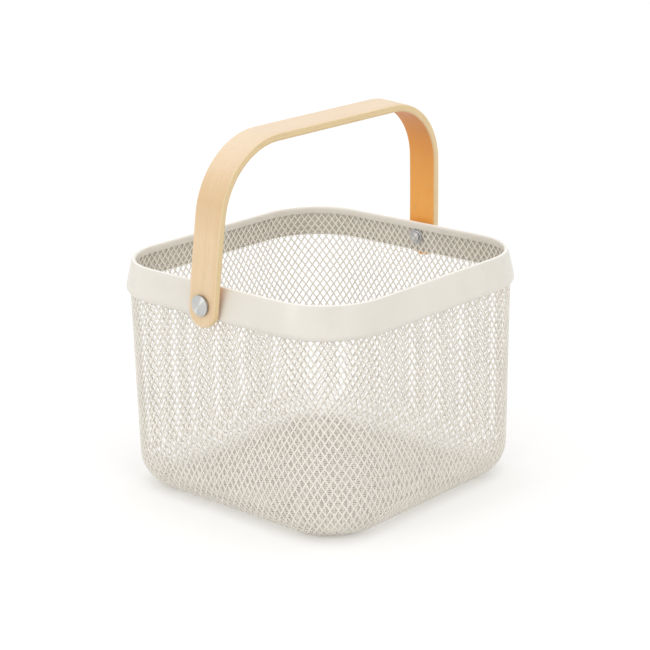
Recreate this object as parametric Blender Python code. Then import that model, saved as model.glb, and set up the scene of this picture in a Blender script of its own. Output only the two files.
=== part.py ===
# A square basket with round corners: a drawn mesh tub, a formed steel rim band, and a handle
# of bent wood that swings on two rivets through the band.
# Lengths are in metres and +Z is up. The origin is on the floor, in the middle of the tub.

import math

import bmesh
import bpy
from mathutils import Matrix, Vector

# Rolled top edge of the rim, which the band and the tub follow all the way round
RIM_LENGTH = 0.240
RIM_WIDTH = 0.240
RIM_HEIGHT = 0.187
CORNER_RADIUS = 0.0525

# Play left wherever two pieces touch or one turns in the other
CLEARANCE = 0.0003

# Mesh tub
MESH_THICKNESS = 0.0012
MESH_INSET = 0.0030  # from the band's widest line in to the tub's wall
WALL_TAPER = 0.0020  # how far the wall draws in on its way down
FLOOR_FILLET = 0.0275

# Diamond openings through the tub's wall and floor, a coarser grid of the mesh's own pattern.
# The count of cells is the nearest that fits, and it stretches them a little to fill their place.
CELL_WIDTH = 0.0272
CELL_HEIGHT = 0.0370
CELL_STRAND = 0.0046  # width of the strands between the openings
CELL_MARGIN = 0.0015  # left closed under the band, over the fillet and round the floor

# Rim band
BAND_THICKNESS = 0.0010
BAND_FLARE = math.radians(13)
BAND_DROP = 0.0222  # from the rolled edge down to the band's widest line
LIP_LENGTH = 0.0040  # turned down inside, over the edge of the mesh
CURL_RADIUS = 0.0045  # of the lower edge, which turns in to the mesh

# Handle, a flat strip bent into a bow
HANDLE_WIDTH = 0.0264
HANDLE_THICKNESS = 0.0061
HANDLE_RISE = 0.1218  # from the pivot up to the top of the bow
HANDLE_EDGE = 0.0012
HANDLE_SWING = math.radians(4)  # how far the standing handle tips towards +X
LEG_TAIL = 0.0175  # from the pivot down to the end of the leg
LEG_GAP = 0.0005  # from the band's widest line out to the leg
FOOT_LEAN = math.radians(2.5)
SHOULDER_LEAN = math.radians(5.5)
BEND_RADIUS = 0.0603

# Rivets, one through each side of the band
SHANK_RADIUS = 0.0016
HEAD_RADIUS = 0.0081
HEAD_THICKNESS = 0.0019
HEAD_EDGE = 0.0004
HEAD_CROWN = 0.0006
TAIL_RADIUS = 0.0042
TAIL_THICKNESS = 0.0010
TAIL_CROWN = 0.0007

# Spacers outside the band, and backing washers inside the tub
SPACER_RADIUS = 0.0055
WASHER_RADIUS = 0.0060
WASHER_BORE_RADIUS = 0.0019
WASHER_THICKNESS = 0.0010
WASHER_DROP = 0.0008  # from the lip's edge down to the washer

# How finely the round shapes are divided, and how their edges are treated
CORNER_STEPS = 11
FILLET_STEPS = 7
ROLL_STEPS = 6
CURL_STEPS = 4
TURNED_STEPS = 28
CROWN_STEPS = 3
FOOT_STEPS = 7
LEG_STEPS = 5
BEND_STEPS = 11
EDGE_STEPS = 2
SHARP_ANGLE = math.radians(35)
MERGE_DISTANCE = 0.00001
CUT_OVERRUN = 0.010

QUARTER = math.pi / 2


def heading(angle):
    return Vector((math.cos(angle), math.sin(angle)))


def arc(centre, radius, start, end, steps):
    return [centre + radius * heading(start + (end - start) * step / steps) for step in range(steps + 1)]


def left_side(points, distance):
    # The same line moved to the left of its direction, mitred where it bends
    directions = [(after - before).normalized() for before, after in zip(points, points[1:])]
    moved = []
    for point, before, after in zip(points, directions[:1] + directions, directions + directions[-1:]):
        square = Vector((-before.y, before.x))
        mitre = (square + Vector((-after.y, after.x))).normalized()
        moved.append(point + mitre * distance / mitre.dot(square))
    return moved


# Lines across the rim. Each point is an offset, measured outward from the rolled edge as seen
# from above, and a height over the floor. The skirt leans out as it goes down from the roll.
ROLL_RADIUS = BAND_THICKNESS + CLEARANCE + MESH_THICKNESS / 2
roll_centre = Vector((-ROLL_RADIUS, RIM_HEIGHT - ROLL_RADIUS))
skirt_out = heading(BAND_FLARE)
skirt_down = heading(BAND_FLARE - QUARTER)


def skirt_offset(height, depth):
    # Where a line that runs parallel to the skirt, at this depth inside it, is at this height
    return roll_centre.x + (ROLL_RADIUS - depth - (height - roll_centre.y) * skirt_out.y) / skirt_out.x


# The curl turns in from the skirt's foot, and its inner edge ends just clear of the tub's wall
curl_height = RIM_HEIGHT - BAND_DROP
curl_centre = Vector((skirt_offset(curl_height, CURL_RADIUS), curl_height))
curl_inside = CURL_RADIUS - BAND_THICKNESS
band_widest = curl_centre.x + CURL_RADIUS
wall_offset = band_widest - MESH_INSET
curl_end = -math.acos((wall_offset + CLEARANCE - curl_centre.x) / curl_inside)

# The tub's wall leans in from there to the slot between the skirt and the lip
wall_top = Vector((wall_offset, curl_centre.y + curl_inside * math.sin(curl_end)))
mesh_edge = roll_centre + skirt_out * MESH_THICKNESS / 2
slot_foot = mesh_edge + skirt_down * LIP_LENGTH
mesh_slope = (wall_top.x - slot_foot.x) / (slot_foot.y - wall_top.y)
mesh_lean = math.atan(mesh_slope)

# The backing washer lies on that wall, close under the lip, and the pivot is in its middle
lip_end = roll_centre - skirt_out * ROLL_RADIUS + skirt_down * LIP_LENGTH
pivot_height = lip_end.y - WASHER_DROP - WASHER_RADIUS * math.cos(mesh_lean)
mesh_face = slot_foot.x + mesh_slope * (slot_foot.y - pivot_height) - MESH_THICKNESS / math.cos(mesh_lean)
washer_middle = mesh_face - (CLEARANCE + WASHER_THICKNESS / 2) / math.cos(mesh_lean)
washer_face = washer_middle - WASHER_THICKNESS / 2 / math.cos(mesh_lean)
tail_seat = washer_face - TAIL_RADIUS * math.tan(mesh_lean) - CLEARANCE

# A leg of the handle curves in from the foot's lean to the shoulder's, where the bend begins
leg_rise = HANDLE_RISE + LEG_TAIL - BEND_RADIUS * (1 - math.sin(SHOULDER_LEAN))
leg_radius = leg_rise / (math.sin(SHOULDER_LEAN) - math.sin(FOOT_LEAN))
pivot_lean = math.asin(math.sin(FOOT_LEAN) + LEG_TAIL / leg_radius)
leg_face = band_widest + LEG_GAP
leg_middle = RIM_WIDTH / 2 + leg_face + HANDLE_THICKNESS / 2 / math.cos(pivot_lean)
spacer_seat = skirt_offset(pivot_height, -CLEARANCE)
spacer_face = leg_face - SPACER_RADIUS * math.tan(pivot_lean) - CLEARANCE
head_gap = HEAD_RADIUS * math.tan(pivot_lean) + CLEARANCE
head_seat = leg_face + HANDLE_THICKNESS / math.cos(pivot_lean) + head_gap
bore_radius = SHANK_RADIUS + CLEARANCE


def band_profile():
    outer = arc(curl_centre, CURL_RADIUS, curl_end, BAND_FLARE, CURL_STEPS)
    outer += arc(roll_centre, ROLL_RADIUS, BAND_FLARE, BAND_FLARE + math.pi, ROLL_STEPS)
    outer.append(lip_end)
    return outer + left_side(outer, BAND_THICKNESS)[::-1]


def tub_profile():
    fillet = min(FLOOR_FILLET, CORNER_RADIUS)
    centre = Vector((wall_offset - WALL_TAPER - fillet, fillet))
    outer = arc(centre, fillet, -QUARTER, 0, FILLET_STEPS)
    outer += [wall_top, slot_foot, mesh_edge]
    return outer + left_side(outer, MESH_THICKNESS)[::-1]


def rim_loop(bm, offset, height):
    # One loop round the basket, at this offset from the rolled edge
    verts = []
    for turn, (side_x, side_y) in enumerate(((1, 1), (-1, 1), (-1, -1), (1, -1))):
        centre = Vector((side_x * (RIM_LENGTH / 2 - CORNER_RADIUS), side_y * (RIM_WIDTH / 2 - CORNER_RADIUS)))
        start = turn * QUARTER
        for point in arc(centre, CORNER_RADIUS + offset, start, start + QUARTER, CORNER_STEPS):
            verts.append(bm.verts.new((point.x, point.y, height)))
    return [bm.edges.new(pair) for pair in zip(verts, verts[1:] + verts[:1])]


def sweep_round_rim(profile, closed):
    # Carry the profile round the basket. An open profile gets a flat face across each end.
    bm = bmesh.new()
    loops = [rim_loop(bm, offset, height) for offset, height in profile]
    for lower, upper in zip(loops, loops[1:]):
        bmesh.ops.bridge_loops(bm, edges=lower + upper)
    if closed:
        bmesh.ops.bridge_loops(bm, edges=loops[-1] + loops[0])
    else:
        bmesh.ops.edgeloop_fill(bm, edges=loops[0])
        bmesh.ops.edgeloop_fill(bm, edges=loops[-1])
    return bm


def beside_rim(run):
    # The rolled edge's point at this run from the middle of the +X side, and the way it faces
    point, facing = Vector((RIM_LENGTH / 2, 0)), 0
    side_x, side_y = RIM_LENGTH - 2 * CORNER_RADIUS, RIM_WIDTH - 2 * CORNER_RADIUS
    for straight in (side_y / 2, side_x, side_y, side_x, side_y / 2):
        point += heading(facing + QUARTER) * min(run, straight)
        turn = min(max(run - straight, 0) / CORNER_RADIUS, QUARTER)
        centre = point - heading(facing) * CORNER_RADIUS
        facing += turn
        point = centre + heading(facing) * CORNER_RADIUS
        run -= straight + turn * CORNER_RADIUS
        if run <= 0:
            break
    return point, facing


def diamond(bm, place, across, up, half_width, half_height):
    # A bar with a diamond section, square to the sheet that it goes through
    slant = math.hypot(half_width, half_height)
    open_share = 1 - CELL_STRAND * slant / (2 * half_width * half_height)
    axes = Matrix((across * half_width * open_share, up * half_height * open_share, across.cross(up)))
    bmesh.ops.create_cone(bm, cap_ends=True, segments=4, radius1=1, radius2=1, depth=2 * CUT_OVERRUN,
                          matrix=Matrix.Translation(place) @ axes.transposed().to_4x4())


def wall_openings(bm):
    # Rows of diamonds round the wall, each row half a cell along from the next
    low = FLOOR_FILLET + CELL_MARGIN
    high = curl_centre.y - CURL_RADIUS - CELL_MARGIN
    half_rows = round(2 * (high - low) / CELL_HEIGHT)
    rim_run = 2 * (RIM_LENGTH + RIM_WIDTH - 4 * CORNER_RADIUS) + math.tau * CORNER_RADIUS
    columns = 4 * round(rim_run / 4 / CELL_WIDTH)
    for row in range(1, half_rows):
        height = low + (high - low) * row / half_rows
        offset = wall_offset - WALL_TAPER * (wall_top.y - height) / (wall_top.y - FLOOR_FILLET)
        for column in range(columns):
            point, facing = beside_rim((column + row % 2 / 2) * rim_run / columns)
            place = point + heading(facing) * offset
            diamond(bm, (*place, height), heading(facing + QUARTER).to_3d(), Vector((0, 0, 1)),
                    rim_run / columns / 2, (high - low) / half_rows)


def floor_openings(bm):
    # The same over the flat of the floor, with a crossing of strands in its middle
    flat = wall_offset - WALL_TAPER - FLOOR_FILLET
    length, width = (2 * (side / 2 + flat - CELL_MARGIN) for side in (RIM_LENGTH, RIM_WIDTH))
    half_columns, half_rows = (2 * round(span / CELL_WIDTH) for span in (length, width))
    step_x, step_y = length / half_columns, width / half_rows
    corner_centre = Vector((CORNER_RADIUS, CORNER_RADIUS))
    for column in range(1, half_columns):
        for row in range(1 + column % 2, half_rows, 2):
            x, y = column * step_x - length / 2, row * step_y - width / 2
            from_centre = Vector((abs(x) - RIM_LENGTH / 2, abs(y) - RIM_WIDTH / 2)) + corner_centre
            reach = from_centre.length + max(step_x, step_y)
            if min(from_centre) > 0 and reach > CORNER_RADIUS + flat:
                continue  # it would run into the round corner
            diamond(bm, (x, y, MESH_THICKNESS / 2), Vector((1, 0, 0)), Vector((0, 1, 0)), step_x, step_y)


def turn_round_axis(profile):
    # Spin a line of radius and height round Z. Both of its ends are on the axis, or they join.
    bm = bmesh.new()
    verts = [bm.verts.new((radius, 0, height)) for radius, height in profile]
    edges = [bm.edges.new(pair) for pair in zip(verts, verts[1:])]
    if profile[0][0] > MERGE_DISTANCE:
        edges.append(bm.edges.new((verts[-1], verts[0])))
    bmesh.ops.spin(bm, geom=verts + edges, cent=(0, 0, 0), axis=(0, 0, 1), angle=math.tau,
                   steps=TURNED_STEPS, use_merge=True, use_duplicate=False)
    bmesh.ops.remove_doubles(bm, verts=bm.verts, dist=MERGE_DISTANCE)
    return bm


def crown(radius, base, height):
    # From a round face's edge up to its middle, which is higher by this much
    ball = (radius ** 2 + height ** 2) / (2 * height)
    reach = math.asin(radius / ball)
    centre = Vector((0, base + height - ball))
    return arc(centre, ball, QUARTER - reach, QUARTER, CROWN_STEPS)


def rivet():
    head_end = head_seat + HEAD_THICKNESS
    tail_end = tail_seat - TAIL_THICKNESS
    tail_crown = [(radius, -height) for radius, height in crown(TAIL_RADIUS, -tail_end, TAIL_CROWN)]
    profile = tail_crown[::-1] + [(TAIL_RADIUS, tail_seat), (SHANK_RADIUS, tail_seat)]
    profile += [(SHANK_RADIUS, head_seat), (HEAD_RADIUS, head_seat), (HEAD_RADIUS, head_end - HEAD_EDGE)]
    return turn_round_axis(profile + crown(HEAD_RADIUS - HEAD_EDGE, head_end, HEAD_CROWN))


def spacer():
    # The leg turns against its flat face, and its slanted face sits on the skirt
    bm = turn_round_axis([(bore_radius, spacer_seat), (SPACER_RADIUS, spacer_seat),
                          (SPACER_RADIUS, spacer_face), (bore_radius, spacer_face)])
    for vert in bm.verts:
        if vert.co.z < (spacer_seat + spacer_face) / 2:
            vert.co.z -= vert.co.y * math.tan(BAND_FLARE)
    return bm


def backing_washer():
    half = WASHER_THICKNESS / 2
    return turn_round_axis([(WASHER_BORE_RADIUS, -half), (WASHER_RADIUS, -half),
                            (WASHER_RADIUS, half), (WASHER_BORE_RADIUS, half)])


def bow_stations():
    # Half of the bow, from the end of a leg up to the middle of the top. Each station is a point
    # in the middle of the strip, the angle that its outer face looks in, and half the width.
    end_radius = HANDLE_WIDTH / 2
    leg_centre = Vector((leg_middle, 0)) - leg_radius * heading(pivot_lean)
    stations = []
    for step in range(FOOT_STEPS + 1):
        turn = QUARTER * step / FOOT_STEPS
        angle = FOOT_LEAN + end_radius * (1 - math.cos(turn)) / leg_radius
        stations.append((leg_centre + leg_radius * heading(angle), angle, end_radius * math.sin(turn)))
    for step in range(1, LEG_STEPS):
        angle_here = angle + (SHOULDER_LEAN - angle) * step / LEG_STEPS
        stations.append((leg_centre + leg_radius * heading(angle_here), angle_here, end_radius))

    bend_middle = BEND_RADIUS - HANDLE_THICKNESS / 2
    bend_centre = leg_centre + (leg_radius - bend_middle) * heading(SHOULDER_LEAN)
    for step in range(BEND_STEPS + 1):
        angle = SHOULDER_LEAN + (QUARTER - SHOULDER_LEAN) * step / BEND_STEPS
        stations.append((bend_centre + bend_middle * heading(angle), angle, end_radius))
    stations.append((Vector((0, bend_centre.y + bend_middle)), QUARTER, end_radius))
    return stations


def half_bow():
    bm = bmesh.new()
    loops = []
    for point, angle, half_width in bow_stations():
        middle = Vector((0, point.x, point.y))
        outward = Vector((0, math.cos(angle), math.sin(angle))) * HANDLE_THICKNESS / 2
        across = Vector((half_width, 0, 0))
        corners = (middle + across + outward, middle + across - outward,
                   middle - across - outward, middle - across + outward)
        verts = [bm.verts.new(corner) for corner in corners]
        loops.append([bm.edges.new(pair) for pair in zip(verts, verts[1:] + verts[:1])])
    for lower, upper in zip(loops, loops[1:]):
        bmesh.ops.bridge_loops(bm, edges=lower + upper)
    bmesh.ops.remove_doubles(bm, verts=bm.verts, dist=MERGE_DISTANCE)
    return bm


def finish(name, colour, roughness, metallic=0.0):
    material = bpy.data.materials.new(name)
    material.use_nodes = True
    shader = material.node_tree.nodes["Principled BSDF"]
    shader.inputs["Base Color"].default_value = (*colour, 1.0)
    shader.inputs["Roughness"].default_value = roughness
    shader.inputs["Metallic"].default_value = metallic
    return material


def place(name, bm, material, location=(0, 0, 0), rotation=(0, 0, 0)):
    bmesh.ops.recalc_face_normals(bm, faces=bm.faces)
    mesh = bpy.data.meshes.new(name)
    bm.to_mesh(mesh)
    bm.free()
    mesh.shade_smooth()
    mesh.set_sharp_from_angle(angle=SHARP_ANGLE)
    mesh.materials.append(material)
    piece = bpy.data.objects.new(name, mesh)
    piece.location = location
    piece.rotation_euler = rotation
    bpy.context.scene.collection.objects.link(piece)
    return piece


def cut(piece, cutter):
    opening = piece.modifiers.new(cutter.name, 'BOOLEAN')
    opening.operation = 'DIFFERENCE'
    opening.object = cutter


def as_cutter(name, bm, material, location=(0, 0, 0), rotation=(0, 0, 0)):
    cutter = place(name, bm, material, location, rotation)
    cutter.hide_render = True
    cutter.display_type = 'WIRE'
    return cutter


def pivot_cutter(material):
    # One bar through both sides, which bores the tub, the band and both legs in line
    bm = bmesh.new()
    bmesh.ops.create_cone(bm, cap_ends=True, segments=TURNED_STEPS, radius1=bore_radius,
                          radius2=bore_radius, depth=RIM_WIDTH + 2 * (head_seat + CUT_OVERRUN))
    return as_cutter("pivot_cutter", bm, material, (0, 0, pivot_height), (QUARTER, 0, 0))


def mesh_cutter(material):
    bm = bmesh.new()
    wall_openings(bm)
    floor_openings(bm)
    return as_cutter("mesh_cutter", bm, material)


def main():
    for old in list(bpy.data.objects):
        bpy.data.objects.remove(old)

    ivory_coat = finish("ivory coat", (0.80, 0.77, 0.70), 0.45)
    cream_coat = finish("cream coat", (0.76, 0.72, 0.64), 0.38)
    light_wood = finish("light wood", (0.82, 0.60, 0.36), 0.55)
    rivet_metal = finish("rivet metal", (0.78, 0.78, 0.80), 0.32, 1.0)
    nylon = finish("natural nylon", (0.72, 0.68, 0.60), 0.5)
    plated_steel = finish("plated steel", (0.62, 0.62, 0.64), 0.35, 1.0)

    cutter = pivot_cutter(rivet_metal)
    tub = place("mesh_tub", sweep_round_rim(tub_profile(), closed=False), ivory_coat)
    cut(tub, cutter)
    cut(tub, mesh_cutter(ivory_coat))
    cut(place("rim_band", sweep_round_rim(band_profile(), closed=True), cream_coat), cutter)

    # The handle's origin is on the line through both rivets, which it swings about
    handle = place("handle_bow", half_bow(), light_wood, (0, 0, pivot_height), (0, HANDLE_SWING, 0))
    other_half = handle.modifiers.new("other half", 'MIRROR')
    other_half.use_axis = (False, True, False)
    other_half.merge_threshold = MERGE_DISTANCE
    edge = handle.modifiers.new("rounded edges", 'BEVEL')
    edge.width = HANDLE_EDGE
    edge.segments = EDGE_STEPS
    edge.angle_limit = SHARP_ANGLE
    cut(handle, cutter)

    # Each side's pieces lie along their own Z, which points outward through the band
    for side, out, turn in (("front", -1, 0), ("back", 1, math.pi)):
        pivot = (0, out * RIM_WIDTH / 2, pivot_height)
        washer = (0, out * (RIM_WIDTH / 2 + washer_middle), pivot_height)
        place(side + "_rivet", rivet(), rivet_metal, pivot, (QUARTER, 0, turn))
        place(side + "_spacer", spacer(), nylon, pivot, (QUARTER, 0, turn))
        place(side + "_backing_washer", backing_washer(), plated_steel, washer, (QUARTER - mesh_lean, 0, turn))


main()
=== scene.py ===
import math

import bmesh
import bpy
from mathutils import Matrix, Vector, noise


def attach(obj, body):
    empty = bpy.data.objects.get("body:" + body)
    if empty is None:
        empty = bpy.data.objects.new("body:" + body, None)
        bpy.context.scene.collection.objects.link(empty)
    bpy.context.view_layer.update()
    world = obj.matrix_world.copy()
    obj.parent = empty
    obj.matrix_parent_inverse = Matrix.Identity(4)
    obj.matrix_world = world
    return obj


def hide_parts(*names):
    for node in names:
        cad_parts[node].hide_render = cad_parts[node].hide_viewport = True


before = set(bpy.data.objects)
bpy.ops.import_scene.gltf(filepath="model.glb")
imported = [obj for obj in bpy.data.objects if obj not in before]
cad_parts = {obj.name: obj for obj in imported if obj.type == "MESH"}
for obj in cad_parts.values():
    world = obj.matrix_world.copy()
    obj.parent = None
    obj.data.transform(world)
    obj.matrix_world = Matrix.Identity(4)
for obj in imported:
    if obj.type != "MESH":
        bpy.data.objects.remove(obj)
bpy.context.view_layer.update()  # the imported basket, with its nodes and bodies

# The basket stands on z = 0 with +Z up, and Y runs through both rivets. Lengths are in metres.
quarter = math.pi / 2
mergeDistance = 0.00001

rimSizes = {
    "half": 0.120,  # from the middle out to the rolled top edge
    "height": 0.187,
    "corner": 0.0525,
}
bandSizes = {
    "sheet": 0.0010,
    "flare": math.radians(13),
    "drop": 0.0222,  # from the rolled edge down to the widest line
    "lip": 0.0040,
    "curl": 0.0045,
    "cutEdge": 0.0003,
    "cutEdgeSteps": 2,
    "curlSteps": 12,
    "rollSteps": 14,
    "cornerSteps": 18,
    "straightSteps": 6,
}
tubSizes = {
    "sheet": 0.0012,
    "inset": 0.0030,
    "taper": 0.0020,
    "fillet": 0.0275,
    "filletSteps": 24,
    "columns": 144,
    "rowsBehindBand": 3,
    "rowsBelow": 19,
    "firstCrossing": 0.1592,  # height of the row of crossings just under the band
    "topPitch": 0.0081,
    "lowPitch": 0.0097,
    "stretchedRow": 13,  # the rows from here down are the tallest
    "growth": 1.3,  # above 1, the rows grow slowly at first
    "rowSlack": 0.25,  # this far above a row still counts with it, in rows
    "strand": 0.00105,  # width of a strand
    "strandSide": 0.0006,  # depth of a strand at its sides
    "floorEasing": 240,  # passes that even out the floor's cells
    "mapShift": 0.004,  # from one face of the sheet to the other in its map
    "drift": 0.10,  # how far drawing has pulled the cells about, in cells
    "driftScale": 38,
    "driftSeed": 7,
}
handleSizes = {
    "width": 0.0264,
    "thickness": 0.0061,
    "rise": 0.1218,
    "swing": math.radians(4),
    "tail": 0.0175,
    "gap": 0.0005,
    "footLean": math.radians(2.5),
    "shoulderLean": math.radians(5.5),
    "bend": 0.0603,
    "arris": 0.0012,
    "arrisSteps": 3,
    "endSteps": 14,
    "station": 0.0034,  # length of one step along the bend
}
rivetSizes = {
    "shank": 0.0016,
    "head": 0.0081,
    "headThickness": 0.0019,
    "headEdge": 0.0004,
    "headCrown": 0.0006,
    "tail": 0.0042,
    "tailThickness": 0.0010,
    "tailEdge": 0.0002,
    "tailCrown": 0.0007,
    "spacer": 0.0055,
    "washer": 0.0060,
    "washerThickness": 0.0010,
    "washerBore": 0.0019,
    "washerDrop": 0.0008,
    "ringEdge": 0.0002,
    "ringEdgeSteps": 2,
    "play": 0.0003,
    "steps": 64,  # round the axis
    "footSteps": 2,
    "edgeSteps": 4,
    "crownSteps": 8,
}
play = rivetSizes["play"]
halfStrip = handleSizes["thickness"] / 2


def heading(angle):
    return Vector((math.cos(angle), math.sin(angle)))


def arcPoints(centre, radius, start, end, steps):
    turn = (end - start) / steps
    return [centre + radius * heading(start + turn * step) for step in range(steps + 1)]


# The section across the rim: x is out from the rolled edge, as seen from above, y is the height
rollRadius = bandSizes["sheet"] + play + tubSizes["sheet"] / 2
rollCentre = Vector((-rollRadius, rimSizes["height"] - rollRadius))
skirtOut = heading(bandSizes["flare"])
skirtDown = heading(bandSizes["flare"] - quarter)


def skirtOffset(height, depth):
    return rollCentre.x + (rollRadius - depth - (height - rollCentre.y) * skirtOut.y) / skirtOut.x


curlHeight = rimSizes["height"] - bandSizes["drop"]
curlCentre = Vector((skirtOffset(curlHeight, bandSizes["curl"]), curlHeight))
curlInside = bandSizes["curl"] - bandSizes["sheet"]
bandWidest = curlCentre.x + bandSizes["curl"]
wallOffset = bandWidest - tubSizes["inset"]
curlEnd = -math.acos((wallOffset + play - curlCentre.x) / curlInside)
wallTop = Vector((wallOffset, curlCentre.y + curlInside * math.sin(curlEnd)))
meshEdge = rollCentre + skirtOut * tubSizes["sheet"] / 2
slotFoot = meshEdge + skirtDown * bandSizes["lip"]
meshSlope = (wallTop.x - slotFoot.x) / (slotFoot.y - wallTop.y)
meshLean = math.atan(meshSlope)
lipEnd = rollCentre - skirtOut * rollRadius + skirtDown * bandSizes["lip"]
pivotHeight = lipEnd.y - rivetSizes["washerDrop"] - rivetSizes["washer"] * math.cos(meshLean)
meshFace = slotFoot.x + meshSlope * (slotFoot.y - pivotHeight) - tubSizes["sheet"] / math.cos(meshLean)

# The bow of the handle, from the middle of its top down to the end of a leg
shoulderLean, footLean = handleSizes["shoulderLean"], handleSizes["footLean"]
legRise = handleSizes["rise"] + handleSizes["tail"] - handleSizes["bend"] * (1 - math.sin(shoulderLean))
legRadius = legRise / (math.sin(shoulderLean) - math.sin(footLean))
pivotLean = math.asin(math.sin(footLean) + handleSizes["tail"] / legRadius)
legFace = bandWidest + handleSizes["gap"]
legMiddle = rimSizes["half"] + legFace + halfStrip / math.cos(pivotLean)
legCentre = Vector((legMiddle, 0)) - legRadius * heading(pivotLean)
bendRadius = handleSizes["bend"] - halfStrip
bendCentre = legCentre + (legRadius - bendRadius) * heading(shoulderLean)
bendLength = bendRadius * (quarter - shoulderLean)
pivotRun = bendCentre.x + bendLength + legRadius * (shoulderLean - pivotLean)
bowRun = bendCentre.x + bendLength + legRadius * (shoulderLean - footLean)

# ------ making and shaping ------


def addObject(name, data):
    item = bpy.data.objects.new(name, data)
    bpy.context.scene.collection.objects.link(item)
    return item


def newPiece(name, bm, material, body, nodes, smoothAngle=35):
    mesh = bpy.data.meshes.new(name)
    bm.to_mesh(mesh)
    bm.free()
    mesh.shade_smooth()
    if smoothAngle:
        mesh.set_sharp_from_angle(angle=math.radians(smoothAngle))
    mesh.materials.append(material)
    piece = addObject(name, mesh)
    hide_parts(*nodes)
    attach(piece, body)
    return piece


def aroundRim(turns, offset):
    # A place in plan, this many quarter turns on from the middle of a corner
    straight = rimSizes["half"] - rimSizes["corner"]
    side = math.floor(turns)
    run = (turns - side - 0.5) * (2 * straight + rimSizes["corner"] * quarter)
    held = max(-straight, min(straight, run))
    middle = heading(quarter * side) * straight + heading(quarter * (side + 1)) * held
    turn = quarter * side + (run - held) / rimSizes["corner"]
    return middle + heading(turn) * (rimSizes["corner"] + offset)


def placeOnLine(line, run):
    for before, after in zip(line, line[1:]):
        step = (after - before).length
        if run <= step + mergeDistance:
            break
        run -= step
    return before + (after - before) * run / step


def carryRoundRim(bm, edges):
    # Sweep a section, which stands at the start of the +X side, all the way round the rim
    straight = rimSizes["half"] - rimSizes["corner"]
    for side in range(4):
        along = heading(quarter * (side + 1)).to_3d()
        for step in range(bandSizes["straightSteps"]):
            grown = bmesh.ops.extrude_edge_only(bm, edges=edges)["geom"]
            verts = {item for item in grown if isinstance(item, bmesh.types.BMVert)}
            edges = [edge for edge in bm.edges if verts.issuperset(edge.verts)]
            bmesh.ops.translate(bm, verts=list(verts),
                                vec=along * 2 * straight / bandSizes["straightSteps"])
        corner = (heading(quarter * side) + heading(quarter * (side + 1))) * straight
        turned = bmesh.ops.spin(bm, geom=list(verts) + edges, cent=corner.to_3d(), axis=(0, 0, 1),
                                angle=quarter, steps=bandSizes["cornerSteps"], use_duplicate=False)
        edges = [item for item in turned["geom_last"] if isinstance(item, bmesh.types.BMEdge)]
    bmesh.ops.remove_doubles(bm, verts=bm.verts, dist=mergeDistance)
    bmesh.ops.recalc_face_normals(bm, faces=bm.faces)


def sharpEdges(bm, angle=60):
    return [edge for edge in bm.edges if edge.calc_face_angle(0) > math.radians(angle)]


def roundOff(bm, edges, radius, steps):
    bmesh.ops.bevel(bm, geom=edges, affect="EDGES", offset=radius, segments=steps, profile=0.5,
                    material=-1)


def cutOut(bm, cutter):
    # What is left of one closed mesh when another is cut out of it
    objects = []
    for part in (bm, cutter):
        mesh = bpy.data.meshes.new("cut")
        part.to_mesh(mesh)
        part.free()
        objects.append(addObject("cut", mesh))
    cut = objects[0].modifiers.new("cut", "BOOLEAN")
    cut.operation = "DIFFERENCE"
    cut.object = objects[1]
    left = bmesh.new()
    left.from_object(objects[0], bpy.context.evaluated_depsgraph_get())
    for item in objects:
        bpy.data.objects.remove(item)
    return left


def boreBar(bm, length, matrix):
    radius = rivetSizes["shank"] + play
    bmesh.ops.create_cone(bm, cap_ends=True, segments=rivetSizes["steps"] // 2, radius1=radius,
                          radius2=radius, depth=length, matrix=matrix)


def unwrapped(values, period):
    # Places round a ring, moved by whole rounds to lie beside the first of them
    return [value + period * round((values[0] - value) / period) for value in values]


# ------ node groups ------


def addNode(tree, kind, x, y, **settings):
    node = tree.nodes.new("ShaderNode" + kind)
    node.location = (x, y)
    for name, value in settings.items():
        setattr(node, name, value)
    return node


def feed(tree, socket, value):
    # What comes out of a node is linked, and a number or a colour is set
    if isinstance(value, bpy.types.NodeSocket):
        tree.links.new(value, socket)
    else:
        socket.default_value = value


def newGroup(name, inputs, outputs):
    group = bpy.data.node_groups.new(name, "ShaderNodeTree")
    for way, sockets in (("INPUT", inputs), ("OUTPUT", outputs)):
        for label, kind in sockets:
            group.interface.new_socket(name=label, in_out=way, socket_type="NodeSocket" + kind)
    start = group.nodes.new("NodeGroupInput")
    start.location = (-900, 0)
    end = group.nodes.new("NodeGroupOutput")
    end.location = (700, 0)
    return group, start, end


def useGroup(tree, group, x, y, values):
    node = addNode(tree, "Group", x, y, node_tree=group)
    for name, value in values.items():
        feed(tree, node.inputs[name], value)
    return node


def mixColour(tree, x, y, factor, first, second, blend="MIX"):
    node = addNode(tree, "Mix", x, y, data_type="RGBA", blend_type=blend)
    for number, value in ((0, factor), (6, first), (7, second)):  # the sockets of a mix of colours
        feed(tree, node.inputs[number], value)
    return node.outputs[2]


def mathNode(tree, x, y, operation, *values, clamp=False):
    node = addNode(tree, "Math", x, y, operation=operation, use_clamp=clamp)
    for socket, value in zip(node.inputs, values):
        feed(tree, socket, value)
    return node.outputs[0]


def rangeNode(tree, x, y, value, fromSpan, toSpan=(0.0, 1.0)):
    node = addNode(tree, "MapRange", x, y)
    feed(tree, node.inputs["Value"], value)
    for name, number in zip(("From Min", "From Max", "To Min", "To Max"), fromSpan + toSpan):
        node.inputs[name].default_value = number
    return node.outputs["Result"]


def noiseNode(tree, x, y, where, scale, detail=2.0, distortion=0.0):
    texture = addNode(tree, "TexNoise", x, y)
    for name, value in (("Vector", where), ("Scale", scale), ("Detail", detail),
                        ("Distortion", distortion)):
        feed(tree, texture.inputs[name], value)
    return texture.outputs[0]


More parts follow.
